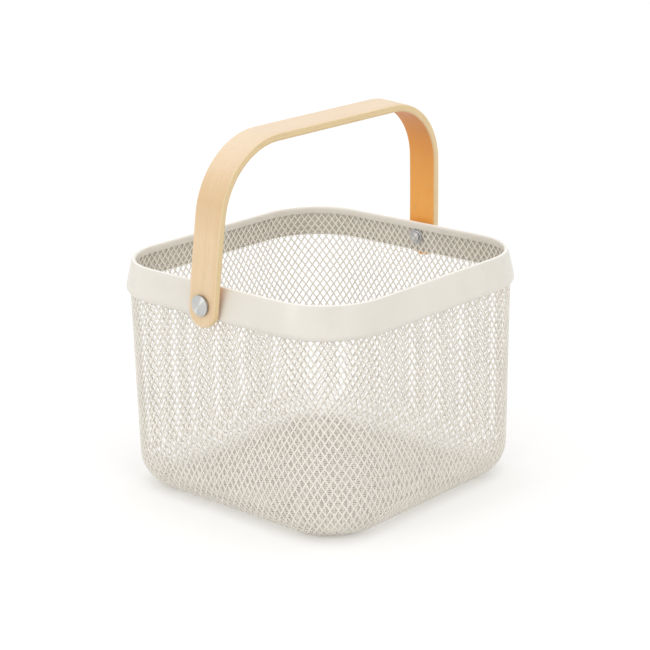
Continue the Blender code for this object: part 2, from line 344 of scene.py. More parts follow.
def bumpNode(tree, x, y, height, distance, strength, over=None):
    bump = addNode(tree, "Bump", x, y)
    for name, value in (("Height", height), ("Distance", distance), ("Strength", strength)):
        feed(tree, bump.inputs[name], value)
    if over:
        feed(tree, bump.inputs["Normal"], over)
    return bump.outputs[0]


def splitVector(tree, x, y, vector):
    parts = addNode(tree, "SeparateXYZ", x, y)
    feed(tree, parts.inputs[0], vector)
    return parts.outputs


def shaded(tree, x, y, colour, share):
    # A colour with its three channels multiplied by one share
    brightness = addNode(tree, "CombineColor", x - 200, y)
    for socket in brightness.inputs:
        feed(tree, socket, share)
    return mixColour(tree, x, y, 1.0, colour, brightness.outputs[0], "MULTIPLY")


def startMaterial(name, colour, roughness, metallic=0.0):
    material = bpy.data.materials.new(name)
    material.use_nodes = True
    tree = material.node_tree
    shader = tree.nodes["Principled BSDF"]
    shader.location = (600, 0)
    tree.nodes["Material Output"].location = (900, 0)
    for label, value in (("Base Color", colour), ("Roughness", roughness), ("Metallic", metallic)):
        feed(tree, shader.inputs[label], value)
    return material, tree, shader


def feedShader(tree, shader, colour, roughness, normal):
    for name, value in (("Base Color", colour), ("Roughness", roughness), ("Normal", normal)):
        feed(tree, shader.inputs[name], value)


noiseSpan = (0.3, 0.7)  # nearly all that a noise texture gives lies between these
powderLook = {
    "toneDetail": 4.0,
    "toneSpan": (0.955, 1.03),  # from the darkest to the lightest places, as shares of the coat
    "roughnessSpan": (-0.04, 0.05),
    "peelDetail": 1.5,
    "speckScale": 260.0,
    "speckDetail": 3.0,
    "speckSpan": (0.35, 0.65),
    "caughtSpan": (0.55, 1.0),  # share of the dust and painted shade that the coat holds, speck by speck
    "dustRoughness": 0.25,
}


def powderCoatGroup():
    # Baked powder: broad, faint differences of tone, an orange peel, and a darker tone in the low
    # places: dust on the band, and on the mesh dust together with painted shade along the strands'
    # sides
    group, start, end = newGroup(
        "powder coat",
        [("Coat", "Color"), ("Dust And Shade", "Color"), ("Low Place", "Float"), ("Dust And Shade Amount", "Float"),
         ("Tone Scale", "Float"), ("Peel Scale", "Float"), ("Roughness", "Float")],
        [("Colour", "Color"), ("Roughness", "Float"), ("Height", "Float")])
    given, made = start.outputs, end.inputs
    where = addNode(group, "TexCoord", -900, -400).outputs["Object"]
    tone = noiseNode(group, -650, 200, where, given["Tone Scale"], powderLook["toneDetail"])
    peel = noiseNode(group, -650, -200, where, given["Peel Scale"], powderLook["peelDetail"])
    speck = noiseNode(group, -650, -500, where, powderLook["speckScale"], powderLook["speckDetail"])
    toned = shaded(group, 0, 200, given["Coat"],
                   rangeNode(group, -400, 200, tone, noiseSpan, powderLook["toneSpan"]))
    caught = rangeNode(group, -400, -500, speck, powderLook["speckSpan"], powderLook["caughtSpan"])
    dustedAndShaded = mathNode(group, -200, -300, "MULTIPLY", given["Low Place"], caught)
    dustedAndShaded = mathNode(group, 0, -300, "MULTIPLY", dustedAndShaded, given["Dust And Shade Amount"], clamp=True)
    feed(group, made["Colour"], mixColour(group, 300, 200, dustedAndShaded, toned, given["Dust And Shade"]))
    uneven = rangeNode(group, -200, 0, tone, noiseSpan, powderLook["roughnessSpan"])
    rough = mathNode(group, 0, 0, "ADD", given["Roughness"], uneven)
    dull = mathNode(group, 150, -100, "MULTIPLY", dustedAndShaded, powderLook["dustRoughness"])
    feed(group, made["Roughness"], mathNode(group, 300, 0, "ADD", rough, dull, clamp=True))
    feed(group, made["Height"], peel)
    return group


def useCoat(tree, look, lowPlace):
    # The powder coat as one piece's dictionary describes it
    return useGroup(tree, powderCoat, 0, 0, {
        "Coat": look["coat"], "Dust And Shade": look["dustAndShadeTone"], "Dust And Shade Amount": look["dustAndShadeAmount"],
        "Low Place": lowPlace, "Roughness": look["roughness"], "Tone Scale": look["toneScale"],
        "Peel Scale": look["peelScale"]}).outputs


powderCoat = powderCoatGroup()

# ------ mesh tub ------
meshLook = {
    "coat": (0.915, 0.88, 0.80, 1),
    # dust, and painted shade on the strands' sides
    "dustAndShadeTone": (0.56, 0.50, 0.41, 1),
    "dustAndShadeAmount": 0.2,
    "roughness": 0.42,
    "toneScale": 45.0,
    "peelScale": 1400.0,
    "peelDepth": 0.00004,
    "peelStrength": 0.5,
}


def meshMaterial():
    material, tree, shader = startMaterial("ivory coat on mesh", meshLook["coat"],
                                           meshLook["roughness"])
    # The strands' sides are darker: dust, and painted shade along the sides of each strand
    side = addNode(tree, "Attribute", -300, 0, attribute_name="strandSide").outputs["Fac"]
    coat = useCoat(tree, meshLook, side)
    peel = bumpNode(tree, 350, -350, coat["Height"], meshLook["peelDepth"], meshLook["peelStrength"])
    feedShader(tree, shader, coat["Colour"], coat["Roughness"], peel)
    return material


def sheetLine():
    # Down the middle of the sheet, from its edge in the rolled rim to the foot of the fillet
    fillet = tubSizes["fillet"]
    half = tubSizes["sheet"] / 2
    filletCentre = Vector((wallOffset - tubSizes["taper"] - fillet, fillet))
    inward = -half * heading(meshLean)
    line = [meshEdge - skirtOut * half, slotFoot + inward, Vector((wallTop.x - half, wallTop.y))]
    return line + arcPoints(filletCentre, fillet - half, 0, -quarter, tubSizes["filletSteps"])


def rowRuns(line):
    # How far down the line each row of cells begins. The rows grow taller on their way down.
    lengths = [(after - before).length for before, after in zip(line, line[1:])]
    first = sum(lengths[:2]) + line[2].y - tubSizes["firstCrossing"]
    top, low = tubSizes["topPitch"], tubSizes["lowPitch"]
    pitches = [top + (low - top) * min(1, row / tubSizes["stretchedRow"]) ** tubSizes["growth"]
               for row in range(tubSizes["rowsBelow"])]
    fit = (sum(lengths) - first) / sum(pitches)
    runs = [first - top * row for row in range(tubSizes["rowsBehindBand"], -1, -1)]
    for pitch in pitches:
        runs.append(runs[-1] + pitch * fit)
    return runs


def pokeCells(bm, faces):
    for edge in {edge for face in faces for edge in face.edges}:
        edge.seam = True  # marks the cells' own edges, which go when the diamonds are made
    return bmesh.ops.poke(bm, faces=faces)["verts"]


def coonsFloor(u, v):
    # A square of cells pulled to the rounded outline of the floor
    south, east = aroundRim(3 + u, footOffset), aroundRim(v, footOffset)
    north, west = aroundRim(2 - u, footOffset), aroundRim(3 - v, footOffset)
    corners = [aroundRim(turn, footOffset) for turn in (3, 0, 2, 1)]
    return ((1 - v) * south + v * north + (1 - u) * west + u * east
            - (1 - u) * (1 - v) * corners[0] - u * (1 - v) * corners[1]
            - (1 - u) * v * corners[2] - u * v * corners[3])


tubLine = sheetLine()
tubRuns = rowRuns(tubLine)
footOffset = tubLine[-1].x


def onWall(across, down):
    # The place on the tub that lies this many columns round it and this many rows down
    row = min(int(down + tubSizes["rowSlack"]), len(tubRuns) - 2)
    run = tubRuns[row] + (tubRuns[row + 1] - tubRuns[row]) * (down - row)
    offset, height = placeOnLine(tubLine, run)
    return Vector((*aroundRim(across * 4 / tubSizes["columns"], offset), height))


def latticeSheet():
    bm = bmesh.new()
    turn = bm.verts.layers.float.new("turn")
    fall = bm.verts.layers.float.new("fall")
    columns, rows = tubSizes["columns"], len(tubRuns) - 1

    # The walls: cells laid out flat, columns by rows, then wrapped round the tub
    noise.seed_set(tubSizes["driftSeed"])
    wall = bmesh.ops.create_grid(bm, x_segments=columns, y_segments=rows, size=0.5)["verts"]
    laidOut = Matrix.Diagonal((columns, rows, 1, 1)) @ Matrix.Translation((0.5, 0.5, 0))
    bmesh.ops.transform(bm, matrix=laidOut, verts=wall)
    wall += pokeCells(bm, bm.faces[:])
    for vert in wall:
        across, down = vert[turn], vert[fall] = vert.co.x, vert.co.y
        held = min(1, down / 2, (rows - down) / 2)  # the sheet's edge and its foot stay true
        drift = noise.noise_vector(onWall(across, down) * tubSizes["driftScale"])
        drift *= tubSizes["drift"] * held
        vert.co = onWall(across + drift.x, down + drift.y)

    # The floor: a square of cells with as many on its four sides as the walls have columns
    side = columns // 4
    walls = set(bm.faces)
    floor = bmesh.ops.create_grid(bm, x_segments=side, y_segments=side, size=0.5)["verts"]
    for vert in floor:
        vert.co = (*coonsFloor(vert.co.x + 0.5, vert.co.y + 0.5), tubLine[-1].y)
    inner = [vert for vert in floor if not vert.is_boundary]
    for step in range(tubSizes["floorEasing"]):
        bmesh.ops.smooth_vert(bm, verts=inner, factor=0.5, use_axis_x=True, use_axis_y=True)
    floor += pokeCells(bm, [face for face in bm.faces if face not in walls])
    for vert in floor:
        vert[fall] = rows + 1

    bmesh.ops.remove_doubles(bm, verts=bm.verts, dist=mergeDistance)
    bmesh.ops.recalc_face_normals(bm, faces=bm.faces)
    cellEdges = [edge for edge in bm.edges if edge.seam and not edge.is_boundary]
    bmesh.ops.dissolve_edges(bm, edges=cellEdges, use_verts=False)
    return bm


def mapCells(bm):
    # The walls' diamonds are mapped in four strips, one over another, with room round each strip,
    # and the floor's by their plan
    turn, fall = bm.verts.layers.float["turn"], bm.verts.layers.float["fall"]
    onFloor = bm.faces.layers.int.new("onFloor")
    bakeMap = bm.loops.layers.uv.new("OFBake")
    rows, stripColumns = len(tubRuns) - 1, tubSizes["columns"] // 4
    for face in bm.faces:
        face[onFloor] = min(vert[fall] for vert in face.verts) >= rows
        if face[onFloor]:
            for loop in face.loops:
                loop[bakeMap].uv = loop.vert.co.xy / (2 * rimSizes["half"]) + Vector((0.5, 0.5))
            continue
        wall = [loop for loop in face.loops if loop.vert[fall] <= rows]
        turns = unwrapped([loop.vert[turn] for loop in wall], tubSizes["columns"])
        strip = math.floor(sum(turns) / len(turns) / stripColumns)
        for loop in face.loops:
            across, down = sum(turns) / len(turns), rows + 0.5  # for a vertex out on the floor
            if loop in wall:
                across, down = turns[wall.index(loop)], loop.vert[fall]
            loop[bakeMap].uv = ((across - strip * stripColumns + 1) / (stripColumns + 2),
                                (down + 0.25 + strip % 4 * (rows + 1)) / (4 * (rows + 1)))


def giveDepth(bm):
    # The sheet's other face and its edges. Only the middle of a strand is as deep as the sheet.
    deep = bm.verts.layers.float_vector["deep"]
    bakeMap = bm.loops.layers.uv["OFBake"]
    grown = bmesh.ops.extrude_face_region(bm, geom=bm.faces[:], use_keep_orig=True)["geom"]
    inside = {item for item in grown if isinstance(item, bmesh.types.BMVert)}
    for vert in bm.verts:
        vert.co += -vert[deep] if vert in inside else vert[deep]
    for vert in inside:
        for loop in vert.link_loops:
            loop[bakeMap].uv.y += tubSizes["mapShift"]
    bmesh.ops.recalc_face_normals(bm, faces=bm.faces)
    bm.verts.layers.float_vector.remove(deep)
    for name in ("turn", "fall"):
        bm.verts.layers.float.remove(bm.verts.layers.float[name])


def makeTub():
    bm = latticeSheet()
    mapCells(bm)
    strandSide = bm.verts.layers.float.new("strandSide")
    deep = bm.verts.layers.float_vector.new("deep")
    cells = bm.faces[:]
    bmesh.ops.inset_individual(bm, faces=cells, thickness=tubSizes["strand"] / 2, use_even_offset=True,
                               use_interpolate=True)
    for face in cells:
        for vert in face.verts:
            vert[strandSide] = 1
    bmesh.ops.delete(bm, geom=cells, context="FACES_ONLY")
    bm.normal_update()
    for vert in bm.verts:
        depth = tubSizes["strandSide"] if vert[strandSide] else tubSizes["sheet"]
        vert[deep] = vert.normal * depth / 2

    # The floor is a piece of its own, parted from the walls along the middle of a ring of strands
    floor = bm.copy()
    for part, dropped, name in ((bm, 1, "expanded_mesh_walls"), (floor, 0, "expanded_mesh_floor")):
        onFloor = part.faces.layers.int["onFloor"]
        others = [face for face in part.faces if face[onFloor] == dropped]
        bmesh.ops.delete(part, geom=others, context="FACES")
        part.faces.layers.int.remove(onFloor)
        giveDepth(part)
        print(name, "has", len(part.faces), "faces")
        newPiece(name, part, ivoryCoat, "basket", ["mesh_tub"], smoothAngle=None)


ivoryCoat = meshMaterial()
makeTub()

# ------ rim band ------
bandLook = {
    "coat": (0.80, 0.765, 0.69, 1),
    # painted highlight along the top of the rolled edge, and how far down it reaches
    "paintedHighlight": (0.93, 0.91, 0.85, 1),
    "paintedHighlightDepth": 0.0007,
    "dustAndShadeTone": (0.60, 0.55, 0.46, 1),
    "dustAndShadeAmount": 0.22,
    "dustScale": 55.0,
    "dustDetail": 5.0,
    "dustSpan": (0.5, 0.75),  # the noise of the places that hold dust
    "roughness": 0.30,
    "toneScale": 14.0,
    "peelScale": 850.0,
    "peelDepth": 0.00005,
    "peelStrength": 0.6,
    "waveScale": 9.0,
    "waveDepth": 0.0004,  # of the broad waves that forming leaves in the skirt
    "waveStrength": 0.25,
}


def bandMaterial():
    material, tree, shader = startMaterial("cream coat on band", bandLook["coat"],
                                           bandLook["roughness"])
    where = addNode(tree, "TexCoord", -700, 0).outputs["Object"]
    settled = noiseNode(tree, -500, 0, where, bandLook["dustScale"], bandLook["dustDetail"])
    coat = useCoat(tree, bandLook, rangeNode(tree, -250, 0, settled, bandLook["dustSpan"]))
    # The coat is painted paler along the top of the rolled edge, a painted highlight
    height = splitVector(tree, -400, 400, where)["Z"]
    top, depth = rimSizes["height"], bandLook["paintedHighlightDepth"]
    paintedHighlight = rangeNode(tree, 0, 400, height, (top - depth, top - depth / 3))
    tone = mixColour(tree, 300, 300, paintedHighlight, coat["Colour"], bandLook["paintedHighlight"])
    forming = noiseNode(tree, -500, -400, where, bandLook["waveScale"])
    waves = bumpNode(tree, 150, -600, forming, bandLook["waveDepth"], bandLook["waveStrength"])
    peel = bumpNode(tree, 350, -350, coat["Height"], bandLook["peelDepth"],
                    bandLook["peelStrength"], waves)
    feedShader(tree, shader, tone, coat["Roughness"], peel)
    return material


def makeBand():
    flare = bandSizes["flare"]
    section = arcPoints(curlCentre, bandSizes["curl"], curlEnd, flare, bandSizes["curlSteps"])
    section += arcPoints(rollCentre, rollRadius, flare, flare + math.pi, bandSizes["rollSteps"])
    section.append(lipEnd)
    start = rimSizes["corner"] - rimSizes["half"]
    bm = bmesh.new()
    verts = [bm.verts.new((rimSizes["half"] + offset, start, height)) for offset, height in section]
    carryRoundRim(bm, [bm.edges.new(pair) for pair in zip(verts, verts[1:])])
    bmesh.ops.solidify(bm, geom=bm.faces[:], thickness=bandSizes["sheet"])
    roundOff(bm, sharpEdges(bm), bandSizes["cutEdge"], bandSizes["cutEdgeSteps"])
    bores = bmesh.new()  # one long bar cuts both
    throughBoth = Matrix.Translation((0, 0, pivotHeight)) @ Matrix.Rotation(quarter, 4, "X")
    boreBar(bores, 4 * rimSizes["half"], throughBoth)
    newPiece("formed_band", cutOut(bm, bores), bandMaterial(), "basket", ["rim_band"])


makeBand()
print("rim band made")

# ------ handle ------
woodLook = {
    "pale": (0.83, 0.625, 0.40, 1),
    "honey": (0.795, 0.58, 0.35, 1),
    # painted highlight: the top painted paler, as if lit from above
    "paintedTopLight": (0.90, 0.74, 0.56, 1),
    "paintedTopLightShare": 0.6,
    "paintedTopLightBend": (0.3, 0.75),  # fades over this part of each bend
    "browned": (0.71, 0.46, 0.22, 1),
    "brownedShare": 0.55,
    "brownedBend": 0.88,  # browned round this place in each bend
    "brownedReach": 0.027,
    # The inside face's orange is painted bounce light, and it is painted darker towards the bends as
    # shade
    "inner": (0.95, 0.43, 0.08, 1),
    "innerBendShade": (0.62, 0.19, 0.04, 1),
    "bendShadeTop": 0.9,  # from this share of the flat top
    "bendShadeBend": 1.4,  # to this many bends' length further on
    "edge": (0.90, 0.71, 0.42, 1),
    "edgeDark": (0.71, 0.50, 0.25, 1),
    "plies": 4,
    "innerEdgeShade": 0.6,  # how much painted shade darkens the cut edge towards the inside face
    # painted shade on the cut edge in the bends
    "bendShadePly": 0.15,
    "plySpan": (-0.2, 0.2),
    "glue": (0.62, 0.44, 0.22, 1),
    "glueLine": 0.00024,
    "glueShare": 0.6,
    "veneerShare": 0.45,
    # How far in from a face the inside's colour, the cut edge and the veneer end, in arris widths
    "innerRim": 0.3,
    "edgeRim": (0.6, 0.1),
    "veneerRim": 0.85,
    # Each part of the grain: its scale along, across and through the strip, detail, distortion
    "bands": ((3.0, 150.0, 260.0), 3.0, 0.5),
    "bandSpan": (0.36, 0.66),
    "fibres": ((22.0, 1700.0, 1700.0), 4.0, 0.0),
    "fibreSpan": (0.965, 1.02),
    "pores": ((95.0, 2300.0, 2300.0), 1.0, 0.0),
    "pore": (0.62, 0.40, 0.20, 1),
    "poreSpan": (0.60, 0.74),
    "poreShare": 0.5,
    "grainDepth": 0.00006,
    "grainStrength": 0.7,
    "roughness": 0.46,
    "roughnessSpan": (0.54, 0.40),
    "varnish": 0.12,
    "varnishRoughness": 0.35,
}


def inBend(share):
    # How far along the strip this share of a bend ends
    return bendCentre.x + bendLength * share


def grainNoise(tree, x, y, where, name):
    scale, detail, distortion = woodLook[name]
    mapping = addNode(tree, "Mapping", x - 200, y)
    feed(tree, mapping.inputs["Vector"], where)
    feed(tree, mapping.inputs["Scale"], scale)
    return noiseNode(tree, x, y, mapping.outputs[0], 1.0, detail, distortion)


def woodMaterial():
    # The grain follows the strip: x along it, y across it and z through its plies
    material, tree, shader = startMaterial("bent wood", woodLook["honey"], woodLook["roughness"])
    flat = addNode(tree, "Attribute", -1500, 0, attribute_name="flatPlace").outputs["Vector"]
    bands = grainNoise(tree, -1000, 500, flat, "bands")
    fibres = grainNoise(tree, -1000, 200, flat, "fibres")
    pores = grainNoise(tree, -1000, -100, flat, "pores")
    parts = splitVector(tree, -1200, -400, flat)
    through = parts["Z"]
    along = mathNode(tree, -900, 800, "ABSOLUTE", parts["X"])
    fromMiddle = mathNode(tree, -900, -650, "ABSOLUTE", through)
    arris = handleSizes["arris"]
    ply = handleSizes["thickness"] / woodLook["plies"]

    # Where the cut edge, its glue lines and the inside face are, and the bends, where painted shade
    # darkens the inside face and the cut edge
    edgeSpan = tuple(halfStrip - arris * share for share in woodLook["edgeRim"])
    cutEdge = rangeNode(tree, -700, -650, fromMiddle, edgeSpan, (1.0, 0.0))
    fromGlue = mathNode(tree, -900, -400, "PINGPONG",
                        mathNode(tree, -1050, -400, "ADD", through, halfStrip), ply / 2)
    glue = rangeNode(tree, -700, -400, fromGlue, (0.0, woodLook["glueLine"]), (1.0, 0.0))
    glue = mathNode(tree, -500, -500, "MULTIPLY", glue, cutEdge, clamp=True)
    insideFace = rangeNode(tree, -700, -900, through,
                           (arris * woodLook["innerRim"] - halfStrip, -halfStrip))
    bendShadeSpan = (bendCentre.x * woodLook["bendShadeTop"], inBend(woodLook["bendShadeBend"]))
    bendShade = rangeNode(tree, -700, 800, along, bendShadeSpan, (1.0, 0.0))

    # The outside is painted paler over the top, a painted highlight of light from above, and browner
    # where the bends begin
    tone = mixColour(tree, -600, 500, rangeNode(tree, -800, 500, bands, woodLook["bandSpan"]),
                     woodLook["pale"], woodLook["honey"])
    paintedTopLightSpan = tuple(inBend(share) for share in woodLook["paintedTopLightBend"])
    paintedTopLight = rangeNode(tree, -600, 900, along, paintedTopLightSpan, (woodLook["paintedTopLightShare"], 0.0))
    tone = mixColour(tree, -550, 600, paintedTopLight, tone, woodLook["paintedTopLight"])
    fromFoot = mathNode(tree, -900, 1000, "SUBTRACT", along, inBend(woodLook["brownedBend"]))
    browned = rangeNode(tree, -600, 1000, mathNode(tree, -750, 1000, "ABSOLUTE", fromFoot),
                        (0.0, woodLook["brownedReach"]), (woodLook["brownedShare"], 0.0))
    tone = mixColour(tree, -525, 500, browned, tone, woodLook["browned"])
    # The inside face: painted orange bounce light, darkened towards the bends as painted shade
    inner = mixColour(tree, -500, 700, bendShade, woodLook["inner"], woodLook["innerBendShade"])
    tone = mixColour(tree, -500, 400, insideFace, tone, inner)

    # In the cut edge each ply has its own tone, and painted shade darkens the edge towards the inside
    # face and in the bends
    plyTone = addNode(tree, "TexWhiteNoise", -750, -1100, noise_dimensions="1D")
    feed(tree, plyTone.inputs["W"],
         mathNode(tree, -900, -1100, "FLOOR", mathNode(tree, -1050, -1100, "DIVIDE", through, ply)))
    ownTone = rangeNode(tree, -550, -1050, plyTone.outputs["Value"], (0.0, 1.0), woodLook["plySpan"])
    darker = rangeNode(tree, -550, -1200, through, (-halfStrip, halfStrip),
                       (woodLook["innerEdgeShade"], 0.0))
    darker = mathNode(tree, -480, -1200, "ADD", darker,
                      mathNode(tree, -480, -1300, "MULTIPLY", bendShade, woodLook["bendShadePly"]))
    darker = mathNode(tree, -400, -1100, "ADD", darker, ownTone, clamp=True)
    edge = mixColour(tree, -350, 600, darker, woodLook["edge"], woodLook["edgeDark"])
    tone = mixColour(tree, -350, 400, cutEdge, tone, edge)
    veneerLine = mathNode(tree, -500, -800, "COMPARE", fromMiddle,
                          halfStrip - arris * woodLook["veneerRim"], woodLook["glueLine"] / 2)
    veneerLine = mathNode(tree, -350, -800, "MULTIPLY", veneerLine, woodLook["veneerShare"])
    tone = mixColour(tree, -280, 300, veneerLine, tone, woodLook["glue"])

    tone = shaded(tree, -200, 400, tone,
                  rangeNode(tree, -800, 200, fibres, noiseSpan, woodLook["fibreSpan"]))
    poreMask = rangeNode(tree, -800, -100, pores, woodLook["poreSpan"], (0.0, woodLook["poreShare"]))
    tone = mixColour(tree, 0, 300, poreMask, tone, woodLook["pore"])
    glueLines = mathNode(tree, 0, -450, "MULTIPLY", glue, woodLook["glueShare"])
    tone = mixColour(tree, 200, 300, glueLines, tone, woodLook["glue"])
    rough = rangeNode(tree, 200, 0, fibres, noiseSpan, woodLook["roughnessSpan"])
    relief = mathNode(tree, 0, -200, "SUBTRACT", fibres, poreMask)
    relief = mathNode(tree, 150, -250, "SUBTRACT", relief, glue)
    relief = bumpNode(tree, 350, -350, relief, woodLook["grainDepth"], woodLook["grainStrength"])
    feedShader(tree, shader, tone, rough, relief)
    feed(tree, shader.inputs["Coat Weight"], woodLook["varnish"])
    feed(tree, shader.inputs["Coat Roughness"], woodLook["varnishRoughness"])
    return material


def bentPlace(place):
    # Where the bow carries a place in the flat strip. Run 0 is the middle of its top.
    run = abs(place.x)
    if run <= bendCentre.x:
        middle, angle = Vector((run, bendCentre.y + bendRadius)), quarter
    elif run <= bendCentre.x + bendLength:
        angle = quarter - (run - bendCentre.x) / bendRadius
        middle = bendCentre + bendRadius * heading(angle)
    else:
        angle = shoulderLean - (run - bendCentre.x - bendLength) / legRadius
        middle = legCentre + legRadius * heading(angle)
    reach, height = middle + place.z * heading(angle)
    return Vector((place.y, math.copysign(reach, place.x), height))


def flatStrip():
    # The strip before it is bent: x runs along it, y across it and z through its thickness
    bm = bmesh.new()
    bmesh.ops.create_grid(bm, x_segments=1, y_segments=1, size=0.5,
                          matrix=Matrix.Diagonal((2 * bowRun, handleSizes["width"], 1, 1)))
    bmesh.ops.bevel(bm, geom=bm.verts[:], affect="VERTICES", offset=handleSizes["width"] / 2,
                    segments=handleSizes["endSteps"], profile=0.5)
    bmesh.ops.remove_doubles(bm, verts=bm.verts, dist=mergeDistance)
    upper = bmesh.ops.extrude_face_region(bm, geom=bm.faces[:])["geom"]
    upper = [item for item in upper if isinstance(item, bmesh.types.BMVert)]
    bmesh.ops.translate(bm, verts=upper, vec=(0, 0, handleSizes["thickness"]))
    bmesh.ops.translate(bm, verts=bm.verts, vec=(0, 0, -halfStrip))
    bmesh.ops.recalc_face_normals(bm, faces=bm.faces)
    roundOff(bm, sharpEdges(bm), handleSizes["arris"], handleSizes["arrisSteps"])
    bores = bmesh.new()
    for side in (-1, 1):
        boreBar(bores, 4 * halfStrip, Matrix.Translation((side * pivotRun, 0, 0)))
    return cutOut(bm, bores)


def makeHandle():
    bm = flatStrip()
    stations = round(bowRun / handleSizes["station"])
    for step in range(1 - stations, stations):
        bmesh.ops.bisect_plane(bm, geom=bm.verts[:] + bm.edges[:] + bm.faces[:], dist=mergeDistance,
                               plane_co=(bowRun * step / stations, 0, 0), plane_no=(1, 0, 0))
    flat = bm.verts.layers.float_vector.new("flatPlace")
    for vert in bm.verts:
        vert[flat] = vert.co
        vert.co = bentPlace(vert.co)
    swing = Matrix.Rotation(handleSizes["swing"], 4, "Y")
    bmesh.ops.transform(bm, matrix=Matrix.Translation((0, 0, pivotHeight)) @ swing, verts=bm.verts)
    bmesh.ops.recalc_face_normals(bm, faces=bm.faces)
    piece = newPiece("bent_handle", bm, woodMaterial(), "handle", ["handle_bow"])
    weighted = piece.modifiers.new("weighted normals", "WEIGHTED_NORMAL")
    weighted.keep_sharp = True


makeHandle()
print("handle made")

# ------ rivets, spacers and backing washers ------
metalLook = {
    "rivet": (0.65, 0.65, 0.635, 1),
    "rivetRoughness": 0.42,
    "washer": (0.62, 0.63, 0.66, 1),
    "washerRoughness": 0.38,
    "toneSpan": (0.93, 1.04),
    "roughnessSpan": (-0.05, 0.07),
    "stain": (0.50, 0.49, 0.46, 1),
    "stainScale": 160.0,
    "stainDetail": 5.0,
    "stainSpan": (0.55, 0.85),
    "stainShare": 0.3,
    "stainRoughness": 0.3,
    # painted shade and a painted reflection of the wooden leg on the head's side
    "dull": (0.24, 0.20, 0.16, 1),
    "sideShadeSpan": (0.985, 0.995),  # round the head's side, in its radii, where shade and the wood's reflection are painted
    "sideShadeShare": 0.7,
    "toolMarks": 34.0,  # turning marks between the middle and the edge
    "markDetail": 3.0,
    "markDepth": 0.000015,
    "markStrength": 0.6,
    "anisotropy": 0.95,
    "anisotropyTurn": 0.25,  # highlights spread across the marks
}
nylonLook = {
    "fresh": (0.78, 0.74, 0.64, 1),
    "yellowed": (0.7488, 0.6808, 0.5376, 1),
    "cloudScale": 180.0,
    "roughness": 0.52,
    "roughnessSpan": (0.45, 0.6),
    "gritScale": 2500.0,
    "gritDepth": 0.00003,
    "gritStrength": 0.5,
}


def turnedMetalGroup():
    # Turning marks round the axis, and a little stain from handling
    group, start, end = newGroup(
        "turned metal",
        [("Metal", "Color"), ("Stain", "Color"), ("Radius", "Float"), ("Marks", "Float"),
         ("Roughness", "Float")],
        [("Colour", "Color"), ("Roughness", "Float"), ("Height", "Float")])
    given, made = start.outputs, end.inputs
    rings = addNode(group, "TexNoise", -500, 200, noise_dimensions="1D")
    feed(group, rings.inputs["W"],
         mathNode(group, -700, 200, "MULTIPLY", given["Radius"], given["Marks"]))
    feed(group, rings.inputs["Scale"], 1.0)
    feed(group, rings.inputs["Detail"], metalLook["markDetail"])
    marks = rings.outputs[0]
    where = addNode(group, "TexCoord", -900, -300).outputs["Object"]
    stained = noiseNode(group, -500, -100, where, metalLook["stainScale"], metalLook["stainDetail"])
    stained = rangeNode(group, -250, -100, stained, metalLook["stainSpan"],
                        (0.0, metalLook["stainShare"]))
    turned = shaded(group, 150, 250, given["Metal"],
                    rangeNode(group, -250, 200, marks, noiseSpan, metalLook["toneSpan"]))
    feed(group, made["Colour"], mixColour(group, 400, 250, stained, turned, given["Stain"]))
    uneven = rangeNode(group, -50, -100, marks, noiseSpan, metalLook["roughnessSpan"])
    rough = mathNode(group, 150, 0, "ADD", given["Roughness"], uneven)
    dull = mathNode(group, 150, -200, "MULTIPLY", stained, metalLook["stainRoughness"])
    feed(group, made["Roughness"], mathNode(group, 400, 0, "ADD", rough, dull, clamp=True))
    feed(group, made["Height"], marks)
    return group


def turnedMaterial(name, colour, roughness):
    material, tree, shader = startMaterial(name, colour, roughness, 1.0)
    turnedMap = addNode(tree, "UVMap", -600, 0, uv_map="turned").outputs[0]
    radius = splitVector(tree, -400, 0, turnedMap)["Y"]
    metal = useGroup(tree, turnedMetal, 0, 0, {
        "Metal": colour, "Stain": metalLook["stain"], "Radius": radius,
        "Marks": metalLook["toolMarks"], "Roughness": roughness}).outputs
    # The head's side is painted dark: painted shade in the gap under the head and a painted reflection
    # of the wood
    paintedSideShade = rangeNode(tree, 150, 300, radius, metalLook["sideShadeSpan"], (0.0, metalLook["sideShadeShare"]))
    tone = mixColour(tree, 350, 200, paintedSideShade, metal["Colour"], metalLook["dull"])
    relief = bumpNode(tree, 350, -350, metal["Height"], metalLook["markDepth"],
                      metalLook["markStrength"])
    feedShader(tree, shader, tone, metal["Roughness"], relief)
    feed(tree, shader.inputs["Anisotropic"], metalLook["anisotropy"])
    feed(tree, shader.inputs["Anisotropic Rotation"], metalLook["anisotropyTurn"])
    tangent = addNode(tree, "Tangent", 350, -600, direction_type="UV_MAP", uv_map="turned")
    feed(tree, shader.inputs["Tangent"], tangent.outputs[0])
    return material


def nylonMaterial():
    material, tree, shader = startMaterial("natural nylon", nylonLook["fresh"], nylonLook["roughness"])
    where = addNode(tree, "TexCoord", -700, 0).outputs["Object"]
    cloud = noiseNode(tree, -500, 100, where, nylonLook["cloudScale"])
    grit = noiseNode(tree, -500, -200, where, nylonLook["gritScale"])
    tone = mixColour(tree, 0, 100, cloud, nylonLook["fresh"], nylonLook["yellowed"])
    rough = rangeNode(tree, 0, -100, cloud, noiseSpan, nylonLook["roughnessSpan"])
    relief = bumpNode(tree, 350, -350, grit, nylonLook["gritDepth"], nylonLook["gritStrength"])
    feedShader(tree, shader, tone, rough, relief)
    return material


